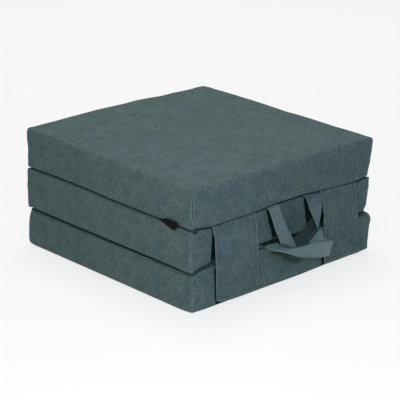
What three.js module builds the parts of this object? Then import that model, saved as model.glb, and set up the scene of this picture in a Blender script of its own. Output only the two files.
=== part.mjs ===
// A folding foam mattress, folded up in three: three foam pads in cloth covers, stacked on each other and
// joined by cloth hinges, with two hanging closing bands, two ribbon handles and a small label.
// Millimetres, Z up. The origin is the middle of the flat underside, X runs along the folds, and the face
// that carries the bands and the handles looks along -Y.
import * as THREE from "three";
import { mergeVertices } from "three/addons/utils/BufferGeometryUtils.js";

// Driving dimensions of the folded mattress
const WIDTH = 600; // along X, the width of the mattress
const DEPTH = 624; // along Y, a third of its open length
const HEIGHT = 302; // up to the rim of the top face
const CROWN = 6; // how far the top face rises above its rim
const LOWER_LINE = 98.5; // height of the joint between bottom and middle pad on the plain faces
const UPPER_LINE = 207; // height of the joint between middle and top pad on the plain faces
const JOINT_GAP = 1.6; // between two pads that lie on each other
const PAD_ROUNDING = 10; // how far a pad's rounded edges reach in from its faces

// Cloth of the sewn-on pieces
const STRAP_CLOTH = 2.4; // a hemmed double cloth
const HINGE_CLOTH = 1.6;
const LABEL_CLOTH = 1.5;

const halfWidth = WIDTH / 2;
const halfDepth = DEPTH / 2;

const coverCloth = new THREE.MeshStandardMaterial({ color: 0x52676a, roughness: 0.95, metalness: 0 });
const ribbonCloth = new THREE.MeshStandardMaterial({ color: 0x5c7276, roughness: 0.95, metalness: 0 });
const labelCloth = new THREE.MeshStandardMaterial({ color: 0x15171a, roughness: 0.7, metalness: 0 });

const mattress = new THREE.Group();
mattress.name = "folding_mattress";

function addPiece(name, geometry, material) {
  const piece = new THREE.Mesh(geometry, material);
  piece.name = name;
  mattress.add(piece);
}

// Soft step from 0 to 1 while value goes from start to end.
function ease(value, start, end) {
  return THREE.MathUtils.smoothstep((value - start) / (end - start), 0, 1);
}

// Reads a table at one place: rows are in order of their column key, with soft turns at each row.
function readTable(rows, key, at, column) {
  const next = rows.findIndex((row) => row[key] > at);
  if (next === 0) return rows[0][column];
  if (next < 0) return rows[rows.length - 1][column];
  const [before, after] = [rows[next - 1], rows[next]];
  const share = ease(at, before[key], after[key]);
  return before[column] + (after[column] - before[column]) * share;
}

// The joints between the pads. Along the handle face the upper one sags where the bands pull at it, and
// the lower one rises over the fold of the hinge.
const UPPER_LINE_AT_HANDLES = [
  { x: -300, drop: -1 },
  { x: -219, drop: 6 },
  { x: -120, drop: 5.5 },
  { x: -24, drop: 1 },
  { x: 57, drop: 1 },
  { x: 140, drop: 7 },
  { x: 235, drop: 12 },
  { x: 300, drop: 7 },
];
const LOWER_RISE = 7;
const LEVEL_TO_CORNERS = 8; // a high power keeps the rise level nearly to the corners
const JOINT_REACH = 150; // how far in from the handle face the joints feel it

function nearHandleFace(y) {
  return ease(-y, halfDepth - JOINT_REACH, halfDepth - PAD_ROUNDING);
}

function upperJoint(x, y) {
  return UPPER_LINE - readTable(UPPER_LINE_AT_HANDLES, "x", x, "drop") * nearHandleFace(y);
}

function lowerJoint(x, y) {
  const middle = 1 - (x / halfWidth) ** LEVEL_TO_CORNERS;
  return LOWER_LINE + LOWER_RISE * middle * nearHandleFace(y);
}

// Room for the hinge cloth in a joint, within reach of the face that it is sewn to.
const HINGE_REACH = 26;
const HINGE_INSET = 4; // from the back face to the edge of the back hinge
const HINGE_SPARE = 0.9; // room over the cloth's thickness
const HINGE_FADE = 30; // past the cloth, the joint closes over this distance
function hingeRoom(distanceFromFace) {
  const pastCloth = distanceFromFace - HINGE_INSET - HINGE_REACH;
  return (HINGE_CLOTH + HINGE_SPARE) * (1 - ease(pastCloth, 0, HINGE_FADE));
}

// The rim of the top face is level along the handle face and bowed along the back.
const BACK_RIM = [
  { x: -300, rise: 6 },
  { x: 40, rise: 7 },
  { x: 180, rise: 1 },
  { x: 300, rise: -3 },
];

function topFace(x, y) {
  const across = 1 - (x / halfWidth) ** 2;
  const along = 1 - (y / halfDepth) ** 2;
  const rim = HEIGHT + readTable(BACK_RIM, "x", x, "rise") * ease(y, 0, halfDepth);
  return rim + CROWN * Math.sqrt(Math.max(0, across * along));
}

// Steps along one side of a pad: close together round its two rounded edges, wide apart between them.
const ARC_STEPS = 2;
function sideSteps(length, lowRounding, highRounding, flatSteps) {
  const arc = [];
  for (let i = 0; i < ARC_STEPS; i++) arc.push(1 - Math.tan(((ARC_STEPS - i) / ARC_STEPS) * (Math.PI / 4)));
  const places = arc.map((share) => share * lowRounding);
  const flat = length - lowRounding - highRounding;
  for (let i = 0; i <= flatSteps; i++) places.push(lowRounding + (flat * i) / flatSteps);
  return places.concat(arc.map((share) => length - share * highRounding).reverse());
}

// One axis of a rounded block: how far a place lies past the flat stretch, as a share of the rounding.
function pastFlat(place, length, lowRounding, highRounding) {
  if (place < lowRounding) return (place - lowRounding) / lowRounding;
  if (place > length - highRounding) return (place - length + highRounding) / highRounding;
  return 0;
}

function backFromFlat(share, place, length, lowRounding, highRounding) {
  if (share < 0) return lowRounding + share * lowRounding;
  if (share > 0) return length - highRounding + share * highRounding;
  return place;
}

// How far each face of a pad is drawn in (or, with a minus, stands out) at its lower edge, its middle
// height and its upper edge.
function drawnIn(profile, height) {
  return height < 0.5
    ? THREE.MathUtils.lerp(profile.low, profile.mid, ease(height, 0, 0.5))
    : THREE.MathUtils.lerp(profile.mid, profile.high, ease(height, 0.5, 1));
}

// A foam pad: a block with rounded edges, laid between two surfaces, with its faces drawn in. High powers
// keep the drawing-in close to the faces, and the shape of a corner close to that corner.
const FLAT_STEPS = { x: 18, y: 12, z: 3 };
const NOMINAL_HEIGHT = 100;
const FACE_HOLD = 6;
const CORNER_HOLD = 4;
function padGeometry({ lowEdge, highEdge, floor, ceiling, faces }) {
  const x = sideSteps(WIDTH, PAD_ROUNDING, PAD_ROUNDING, FLAT_STEPS.x);
  const y = sideSteps(DEPTH, PAD_ROUNDING, PAD_ROUNDING, FLAT_STEPS.y);
  const z = sideSteps(NOMINAL_HEIGHT, lowEdge, highEdge, FLAT_STEPS.z);
  const [nx, ny, nz] = [x.length - 1, y.length - 1, z.length - 1];
  const block = new THREE.BoxGeometry(1, 1, 1, nx, ny, nz);
  const points = block.getAttribute("position");
  const rounding = new THREE.Vector3();
  for (let i = 0; i < points.count; i++) {
    const place = {
      x: x[Math.round((points.getX(i) + 0.5) * nx)],
      y: y[Math.round((points.getY(i) + 0.5) * ny)],
      z: z[Math.round((points.getZ(i) + 0.5) * nz)],
    };
    rounding.set(
      pastFlat(place.x, WIDTH, PAD_ROUNDING, PAD_ROUNDING),
      pastFlat(place.y, DEPTH, PAD_ROUNDING, PAD_ROUNDING),
      pastFlat(place.z, NOMINAL_HEIGHT, lowEdge, highEdge),
    );
    rounding.normalize();
    let atX = backFromFlat(rounding.x, place.x, WIDTH, PAD_ROUNDING, PAD_ROUNDING) - halfWidth;
    let atY = backFromFlat(rounding.y, place.y, DEPTH, PAD_ROUNDING, PAD_ROUNDING) - halfDepth;
    const height = backFromFlat(rounding.z, place.z, NOMINAL_HEIGHT, lowEdge, highEdge) / NOMINAL_HEIGHT;
    const sideways = atX / halfWidth;
    const deep = atY / halfDepth;
    const corner = drawnIn(sideways < 0 ? faces.frontLeft : faces.frontRight, height);
    const front = THREE.MathUtils.lerp(drawnIn(faces.front, height), corner, sideways ** CORNER_HOLD);
    const profileX = sideways < 0 ? faces.left : faces.right;
    const profileY = deep < 0 ? front : drawnIn(faces.back, height);
    atX -= Math.sign(sideways) * drawnIn(profileX, height) * Math.abs(sideways) ** FACE_HOLD;
    atY -= Math.sign(deep) * profileY * Math.abs(deep) ** FACE_HOLD;
    points.setXYZ(i, atX, atY, THREE.MathUtils.lerp(floor(atX, atY), ceiling(atX, atY), height));
  }
  block.deleteAttribute("normal");
  block.deleteAttribute("uv");
  return mergeVertices(block, 1e-4);
}

// The top pad's lower edge holds the seam for the bands, the upper handle and the label.
addPiece(
  "pad_top",
  padGeometry({
    lowEdge: 5,
    highEdge: 14,
    floor: (x, y) => upperJoint(x, y) + JOINT_GAP / 2 + hingeRoom(halfDepth - y) / 2,
    ceiling: topFace,
    faces: {
      left: { low: -3, mid: -4, high: 3 },
      right: { low: 7, mid: -2, high: -4 },
      front: { low: 1, mid: -2, high: 1 },
      frontLeft: { low: 4, mid: 0, high: 1 },
      frontRight: { low: 4, mid: -1, high: -4 },
      back: { low: 0, mid: -3, high: 1 },
    },
  }),
  coverCloth,
);

// The middle pad gives way behind the bands: its handle face leans in towards the fold under it.
addPiece(
  "pad_middle",
  padGeometry({
    lowEdge: 13,
    highEdge: 10,
    floor: (x, y) => lowerJoint(x, y) + JOINT_GAP / 2 + hingeRoom(y + halfDepth) / 2,
    ceiling: (x, y) => upperJoint(x, y) - JOINT_GAP / 2 - hingeRoom(halfDepth - y) / 2,
    faces: {
      left: { low: -1, mid: -4, high: -2 },
      right: { low: 9, mid: 4, high: 2 },
      front: { low: 10, mid: 5, high: 3 },
      frontLeft: { low: 3, mid: 1, high: 1 },
      frontRight: { low: 3, mid: 1, high: -1 },
      back: { low: 1, mid: -2, high: 1 },
    },
  }),
  coverCloth,
);

addPiece(
  "pad_bottom",
  padGeometry({
    lowEdge: 6,
    highEdge: 11,
    floor: () => 0,
    ceiling: (x, y) => lowerJoint(x, y) - JOINT_GAP / 2 - hingeRoom(y + halfDepth) / 2,
    faces: {
      left: { low: -5, mid: -4, high: 0 },
      right: { low: 1, mid: -1, high: -2 },
      front: { low: -2, mid: -1, high: 0 },
      frontLeft: { low: -5, mid: -4, high: -1 },
      frontRight: { low: 1, mid: -3, high: -2 },
      back: { low: 1, mid: -2, high: 1 },
    },
  }),
  coverCloth,
);

// A sheet of cloth as a thin closed solid. pointAt(across, along) gives the middle of the cloth for shares
// from 0 to 1.
function sheetGeometry(acrossSteps, alongSteps, thickness, pointAt) {
  const nearby = 1e-3;
  const positions = [];
  const indices = [];
  const rowLength = acrossSteps + 1;
  const sideLength = rowLength * (alongSteps + 1);
  for (const side of [1, -1]) {
    for (let j = 0; j <= alongSteps; j++) {
      for (let i = 0; i <= acrossSteps; i++) {
        const [u, v] = [i / acrossSteps, j / alongSteps];
        const acrossWay = pointAt(Math.min(1, u + nearby), v).sub(pointAt(Math.max(0, u - nearby), v));
        const alongWay = pointAt(u, Math.min(1, v + nearby)).sub(pointAt(u, Math.max(0, v - nearby)));
        const outward = acrossWay.cross(alongWay).normalize();
        positions.push(...pointAt(u, v).addScaledVector(outward, (side * thickness) / 2).toArray());
      }
    }
  }
  const quad = (a, b, c, d) => indices.push(a, b, c, a, c, d);
  for (let j = 0; j < alongSteps; j++) {
    for (let i = 0; i < acrossSteps; i++) {
      const corner = j * rowLength + i;
      const under = corner + sideLength;
      quad(corner, corner + 1, corner + 1 + rowLength, corner + rowLength);
      quad(under, under + rowLength, under + 1 + rowLength, under + 1);
    }
  }
  const rim = [];
  for (let i = 0; i < acrossSteps; i++) rim.push(i);
  for (let j = 0; j < alongSteps; j++) rim.push(j * rowLength + acrossSteps);
  for (let i = acrossSteps; i > 0; i--) rim.push(alongSteps * rowLength + i);
  for (let j = alongSteps; j > 0; j--) rim.push(j * rowLength);
  rim.forEach((corner, n) => {
    const next = rim[(n + 1) % rim.length];
    quad(corner, corner + sideLength, next + sideLength, next);
  });
  const geometry = new THREE.BufferGeometry();
  geometry.setAttribute("position", new THREE.Float32BufferAttribute(positions, 3));
  geometry.setIndex(indices);
  return geometry;
}

// A point on or before the handle face: out is its distance in front of the face.
function beforeHandleFace(x, out, z) {
  return new THREE.Vector3(x, -halfDepth - out, z);
}

// The hinge between the two lower pads: a strip of cover cloth in the joint, its outer edge turned down
// over the rounded edge of the bottom pad.
const HINGE_LENGTH = 536;
const FRONT_HINGE_SECTION = [
  { share: 0, out: -HINGE_REACH, rise: 0 },
  { share: 0.6, out: -9, rise: 0 },
  { share: 0.8, out: -4.4, rise: -0.9 },
  { share: 1, out: -1.6, rise: -3.4 },
];
addPiece(
  "hinge_front",
  sheetGeometry(24, 6, HINGE_CLOTH, (u, v) => {
    const x = (u - 0.5) * HINGE_LENGTH;
    const out = readTable(FRONT_HINGE_SECTION, "share", v, "out");
    const level = lowerJoint(x, -halfDepth - Math.min(0, out));
    return beforeHandleFace(x, out, level + readTable(FRONT_HINGE_SECTION, "share", v, "rise"));
  }),
  coverCloth,
);

addPiece(
  "hinge_back",
  sheetGeometry(12, 2, HINGE_CLOTH, (u, v) => {
    const y = halfDepth - HINGE_INSET - HINGE_REACH * v;
    const x = (u - 0.5) * HINGE_LENGTH;
    return new THREE.Vector3(x, y, upperJoint(x, y));
  }),
  coverCloth,
);

// The closing bands hang from the seam under the top pad, stand off the hollow at the lower joint, and end
// just above the surface that the mattress lies on.
const BAND_SECTION = [
  { share: 0, out: -4.6, level: 1 },
  { share: 0.02, out: -1, level: 0.995 },
  { share: 0.06, out: 3.4, level: 0.965 },
  { share: 0.15, out: 5.4, level: 0.87 },
  { share: 0.5, out: 7.5, level: 0.5 },
  { share: 0.8, out: 5.6, level: 0.2 },
  { share: 1, out: 4.6, level: 0 },
];
const BAND_UNDER_JOINT = 0.6;
const BAND_STEPS = { across: 8, along: 14 };
const CORNER_TURN = 8; // a high power keeps the turned-up hem to the band's corner
function bandGeometry({ left, right, skew, lift, foot, cornerRise }) {
  return sheetGeometry(BAND_STEPS.across, BAND_STEPS.along, STRAP_CLOTH, (u, v) => {
    const share = v < 0.5 ? v * v * (1 + 2 * v) : v; // rows close together at the seam
    const x = THREE.MathUtils.lerp(left, right, u) + skew * share;
    const seam = upperJoint(x, -halfDepth) - BAND_UNDER_JOINT;
    const level = readTable(BAND_SECTION, "share", share, "level");
    const edgeLift = lift * (1 - u) ** 2 * Math.sin(Math.PI * share);
    const out = readTable(BAND_SECTION, "share", share, "out") + edgeLift;
    const hem = foot + cornerRise * (1 - u) ** CORNER_TURN;
    return beforeHandleFace(x, out, THREE.MathUtils.lerp(hem, seam, level));
  });
}
const BAND_LEFT = { left: -237, right: -97, skew: 6, lift: 2, foot: 7, cornerRise: 7 };
const BAND_RIGHT = { left: 124, right: 246, skew: 8, lift: 3, foot: 9, cornerRise: 0 };
addPiece("band_left", bandGeometry(BAND_LEFT), coverCloth);
addPiece("band_right", bandGeometry(BAND_RIGHT), coverCloth);

// The handles are ribbons. Each row of their tables is one line straight across the ribbon: the places of
// its two edges, as x, distance out from the handle face, and height.
const RIBBON_STEPS = 44;
function ribbonGeometry(rows) {
  const edge = (x, out, z) => {
    const points = rows.map((row) => beforeHandleFace(row[x], row[out], row[z]));
    return new THREE.CatmullRomCurve3(points, false, "centripetal");
  };
  const [first, second] = [edge("x1", "out1", "z1"), edge("x2", "out2", "z2")];
  return sheetGeometry(2, RIBBON_STEPS, STRAP_CLOTH, (u, v) => first.getPoint(v).lerp(second.getPoint(v), u));
}

// The upper handle: its left leg hangs forward from the seam, folds back on the lower handle, rises to the
// right with its inner side showing, and turns over into the right leg.
const UPPER_HANDLE = [
  { x1: -59, out1: -4.4, z1: 204, x2: -22, out2: -4.4, z2: 205 },
  { x1: -59, out1: 2.5, z1: 201, x2: -23, out2: 2.5, z2: 201.5 },
  { x1: -57, out1: 10, z1: 185.7, x2: -18, out2: 8, z2: 180.7 },
  { x1: -51, out1: 20, z1: 150.7, x2: -6, out2: 16, z2: 142.7 },
  { x1: -45, out1: 30, z1: 122.7, x2: 13, out2: 24, z2: 99.7 },
  { x1: -37, out1: 25, z1: 114.7, x2: 26, out2: 18, z2: 84.7 },
  { x1: -26, out1: 14, z1: 112.5, x2: 33, out2: 11, z2: 84.5 },
  { x1: 8, out1: 5, z1: 108, x2: 44, out2: 16, z2: 86 },
  { x1: 43, out1: 3, z1: 110.2, x2: 56, out2: 22, z2: 98.8 },
  { x1: 74.5, out1: 2.5, z1: 130.8, x2: 68.7, out2: 25, z2: 110.9 },
  { x1: 107, out1: 2, z1: 152, x2: 80.9, out2: 26, z2: 119.8 },
  { x1: 118, out1: 2, z1: 160, x2: 86, out2: 26, z2: 122 },
  { x1: 121, out1: 3.5, z1: 167, x2: 86, out2: 28, z2: 126 },
  { x1: 118, out1: 4.5, z1: 172, x2: 82.4, out2: 28, z2: 133 },
  { x1: 117, out1: 4.2, z1: 180, x2: 77.1, out2: 22, z2: 147 },
  { x1: 116, out1: 3.6, z1: 191, x2: 70.6, out2: 12, z2: 172 },
  { x1: 116.5, out1: 2.8, z1: 197, x2: 66, out2: 5, z2: 196 },
  { x1: 117, out1: -4.4, z1: 200.4, x2: 67, out2: -4.4, z2: 204.6 },
];
addPiece("handle_upper", ribbonGeometry(UPPER_HANDLE), ribbonCloth);

// The lower handle: it leaves the fold between the lower pads lying flat, turns its face out as it runs to
// the right, and folds back behind itself to its other end.
const LOWER_HANDLE = [
  { x1: -66, out1: -3.4, z1: 107, x2: -23, out2: -3.4, z2: 107.4 },
  { x1: -66, out1: 4, z1: 105, x2: -23, out2: 4, z2: 104 },
  { x1: -65, out1: 14, z1: 103.7, x2: -23, out2: 14, z2: 100.2 },
  { x1: -59, out1: 28, z1: 102.7, x2: -12, out2: 25, z2: 95.7 },
  { x1: -43, out1: 41, z1: 98.7, x2: 0, out2: 34, z2: 94.7 },
  { x1: -22, out1: 48, z1: 87.7, x2: 13, out2: 41, z2: 96.7 },
  { x1: 6, out1: 47, z1: 74.7, x2: 29, out2: 45, z2: 97.7 },
  { x1: 46, out1: 40, z1: 60.7, x2: 54, out2: 42, z2: 95.7 },
  { x1: 94, out1: 29, z1: 44.7, x2: 99, out2: 32, z2: 85.7 },
  { x1: 128, out1: 24, z1: 37.7, x2: 140, out2: 26, z2: 75 },
  { x1: 131, out1: 18.5, z1: 35.5, x2: 143, out2: 19.5, z2: 72.5 },
  { x1: 108, out1: 15, z1: 47, x2: 131, out2: 16, z2: 80 },
  { x1: 80, out1: 12.5, z1: 68, x2: 114, out2: 12, z2: 90 },
  { x1: 66, out1: 7, z1: 92, x2: 103, out2: 7, z2: 100 },
  { x1: 63, out1: 2, z1: 103.6, x2: 100, out2: 2, z2: 105 },
  { x1: 62, out1: -3.4, z1: 106.6, x2: 100, out2: -3.4, z2: 107 },
];
addPiece("handle_lower", ribbonGeometry(LOWER_HANDLE), ribbonCloth);

// The label: a small woven tab. One end is pinched in the seam under the top pad on the plain left face,
// and the tab opens out towards its free end. Each row is a line across it, low edge to high edge.
const LABEL = [
  { y: -198, low: 204.4, high: 206.2, out: -0.6 },
  { y: -205, low: 202.4, high: 206.4, out: 3.8 },
  { y: -222, low: 199, high: 211.5, out: 6.4 },
  { y: -244, low: 196.3, high: 216.3, out: 7.8 },
  { y: -268, low: 195.8, high: 214.8, out: 9.6 },
];
const LABEL_STEPS = LABEL.length - 1;
addPiece(
  "label",
  sheetGeometry(LABEL_STEPS * 2, 3, LABEL_CLOTH, (u, v) => {
    const place = u * LABEL_STEPS;
    const row = Math.min(Math.floor(place), LABEL_STEPS - 1);
    const between = (column) => THREE.MathUtils.lerp(LABEL[row][column], LABEL[row + 1][column], place - row);
    const z = THREE.MathUtils.lerp(between("high"), between("low"), v);
    return new THREE.Vector3(-halfWidth - between("out"), between("y"), z);
  }),
  labelCloth,
);

export default mattress;
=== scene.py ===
import math

import bpy
import numpy as np
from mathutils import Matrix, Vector


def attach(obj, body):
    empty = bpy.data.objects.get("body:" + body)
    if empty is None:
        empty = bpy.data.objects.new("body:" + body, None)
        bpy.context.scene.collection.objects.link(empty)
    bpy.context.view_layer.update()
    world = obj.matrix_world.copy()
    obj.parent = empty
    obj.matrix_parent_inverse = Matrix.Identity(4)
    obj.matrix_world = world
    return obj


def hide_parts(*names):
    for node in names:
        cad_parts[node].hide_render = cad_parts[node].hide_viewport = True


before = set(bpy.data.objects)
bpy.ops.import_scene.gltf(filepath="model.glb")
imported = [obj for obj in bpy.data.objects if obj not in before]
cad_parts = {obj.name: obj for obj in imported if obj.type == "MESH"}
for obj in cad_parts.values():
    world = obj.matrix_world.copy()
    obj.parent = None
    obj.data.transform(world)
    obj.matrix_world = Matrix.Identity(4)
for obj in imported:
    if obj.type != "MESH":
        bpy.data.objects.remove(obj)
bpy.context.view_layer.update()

scene = bpy.context.scene

# The studio. The folded mattress stands on a plain pale floor in an even white surround. A large soft light
# hangs over its far side, and three small ones stand off the near corner and the two faces in view. The
# camera looks down on the near corner from the photograph's angle, through a long lens.
VIEW_AZIMUTH = math.radians(-42.27)
VIEW_ELEVATION = math.radians(19.90)
VIEW_DISTANCE = 4.604
VIEW_CENTRE_HEIGHT = 0.1257
VIEW_CENTRE_ASIDE = 0.0058
LENS = 163.9
SENSOR = 36
SURROUND_STRENGTH = 0.44
SURROUND_COLOUR = (1.0, 1.0, 1.0)
FLOOR_COLOUR = (0.15, 0.15, 0.15)
FLOOR_GLOW = 0.745
FLOOR_REACH = 14
SOFT_LIGHTS = [  # name, place, size, watts and colour
    ("overhead", (0.9, 1.3, 4.6), 2.8, 188, (1.0, 0.985, 0.95)),
    ("near_corner", (-1.3, -1.4, 0.9), 0.8, 22, (1.0, 0.98, 0.92)),
    ("left_side", (-1.9, -0.4, 0.15), 0.9, 5, (1.0, 1.0, 1.0)),
    ("handle_side", (-0.7, -1.8, 1.0), 0.9, 11, (0.05, 0.35, 1.0)),
]

away = Vector((
    math.sin(VIEW_AZIMUTH) * math.cos(VIEW_ELEVATION),
    -math.cos(VIEW_AZIMUTH) * math.cos(VIEW_ELEVATION),
    math.sin(VIEW_ELEVATION),
))
centre = Vector((
    math.cos(VIEW_AZIMUTH) * VIEW_CENTRE_ASIDE,
    math.sin(VIEW_AZIMUTH) * VIEW_CENTRE_ASIDE,
    VIEW_CENTRE_HEIGHT,
))
lens = bpy.data.cameras.new("photo_view")
lens.lens = LENS
lens.sensor_width = SENSOR
camera = bpy.data.objects.new("photo_view", lens)
camera.location = centre + away * VIEW_DISTANCE
camera.rotation_euler = (-away).to_track_quat("-Z", "Y").to_euler()
scene.collection.objects.link(camera)
scene.camera = camera
scene.view_settings.view_transform = "Standard"

surround = bpy.data.worlds.new("surround")
surround.use_nodes = True
surround_sockets = surround.node_tree.nodes["Background"].inputs
surround_sockets["Color"].default_value = (*SURROUND_COLOUR, 1)
surround_sockets["Strength"].default_value = SURROUND_STRENGTH
scene.world = surround

for name, place, size, watts, colour in SOFT_LIGHTS:
    light = bpy.data.lights.new(name, "AREA")
    light.energy = watts
    light.size = size
    light.color = colour
    lamp = bpy.data.objects.new(name, light)
    lamp.location = place
    lamp.rotation_euler = (Vector(place) - centre).to_track_quat("Z", "Y").to_euler()
    scene.collection.objects.link(lamp)

floor_mesh = bpy.data.meshes.new("floor")
floor_corners = [(x * FLOOR_REACH, y * FLOOR_REACH, 0) for x, y in ((-1, -1), (1, -1), (1, 1), (-1, 1))]
floor_mesh.from_pydata(floor_corners, [], [(0, 1, 2, 3)])
floor = bpy.data.objects.new("floor", floor_mesh)
floor_paint = bpy.data.materials.new("pale_floor")
floor_paint.use_nodes = True
paint_sockets = floor_paint.node_tree.nodes["Principled BSDF"].inputs
paint_sockets["Base Color"].default_value = (*FLOOR_COLOUR, 1)
paint_sockets["Roughness"].default_value = 1
paint_sockets["Specular IOR Level"].default_value = 0
paint_sockets["Emission Color"].default_value = (1, 1, 1, 1)
paint_sockets["Emission Strength"].default_value = FLOOR_GLOW
floor_mesh.materials.append(floor_paint)
scene.collection.objects.link(floor)

# The cover cloth. A heathered linen-look plain weave of grey-green yarns, some paler and some darker, with
# slubs. It is sewn with most of its slubs upright on the sides of the pads and across the top.
COVER_COLOURS = {
    "dark": (0.030, 0.0495, 0.050), "plain": (0.053, 0.081, 0.080), "light": (0.088, 0.127, 0.124),
}
YARN = 0.00115
SLUB_WIDTH = 0.0022
SLUB_LENGTH = 0.016
SPECK = 0.0018
CLOUD = 0.045
TONE_SHARE = {"slub": 1.3, "speck": 1.7, "yarn": 0.9, "cloud": 0.5, "seam": 0.45}
TONE_STOPS = {"dark": 0.08, "plain": 0.5, "light": 0.98}
UPRIGHT_SLUBS = {"plain_sides": 0.22, "handle_face": 0.72}
YARN_APART = 0.73
WEAVE_DEPTH = 0.00022
SLUB_DEPTH = 0.0003
SLUB_GLOSS = 0.1
# Painted shade in crevices: how near other cloth must lie for the cloth to be darkened, and the dark colour
# it is darkened to.
CREVICE_SHADE = {"reach": 0.010, "dark_below": 0.2, "clear_above": 0.62, "off_floor": 0.02}
CREVICE_SHADE_COLOUR = (0.0015, 0.0045, 0.006, 1)
BLUER = (0.96, 1.0, 1.05, 1)
GREENER = (1.04, 1.0, 0.95, 1)


def put_node(tree, kind, inputs=(), **settings):
    """Adds a shader node. An input is a number, a colour, or another node's output, which is linked."""
    node = tree.nodes.new("ShaderNode" + kind)
    for name, value in settings.items():
        setattr(node, name, value)
    for key, value in dict(inputs).items():
        if isinstance(value, bpy.types.NodeSocket):
            tree.links.new(value, node.inputs[key])
        else:
            node.inputs[key].default_value = value
    return node


def arithmetic(tree, operation, *values):
    return put_node(tree, "Math", dict(enumerate(values)), operation=operation).outputs[0]


def noise_at(tree, across, along, scale_across, scale_along, detail, seed):
    """Noise from 0 to 1 on the flat cloth, with a different scale in each direction."""
    place = put_node(tree, "CombineXYZ", {
        "X": arithmetic(tree, "MULTIPLY", across, 1 / scale_across),
        "Y": arithmetic(tree, "MULTIPLY", along, 1 / scale_along),
        "Z": seed,
    })
    return put_node(tree, "TexNoise", {"Vector": place.outputs[0], "Scale": 1, "Detail": detail}).outputs[0]


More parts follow.
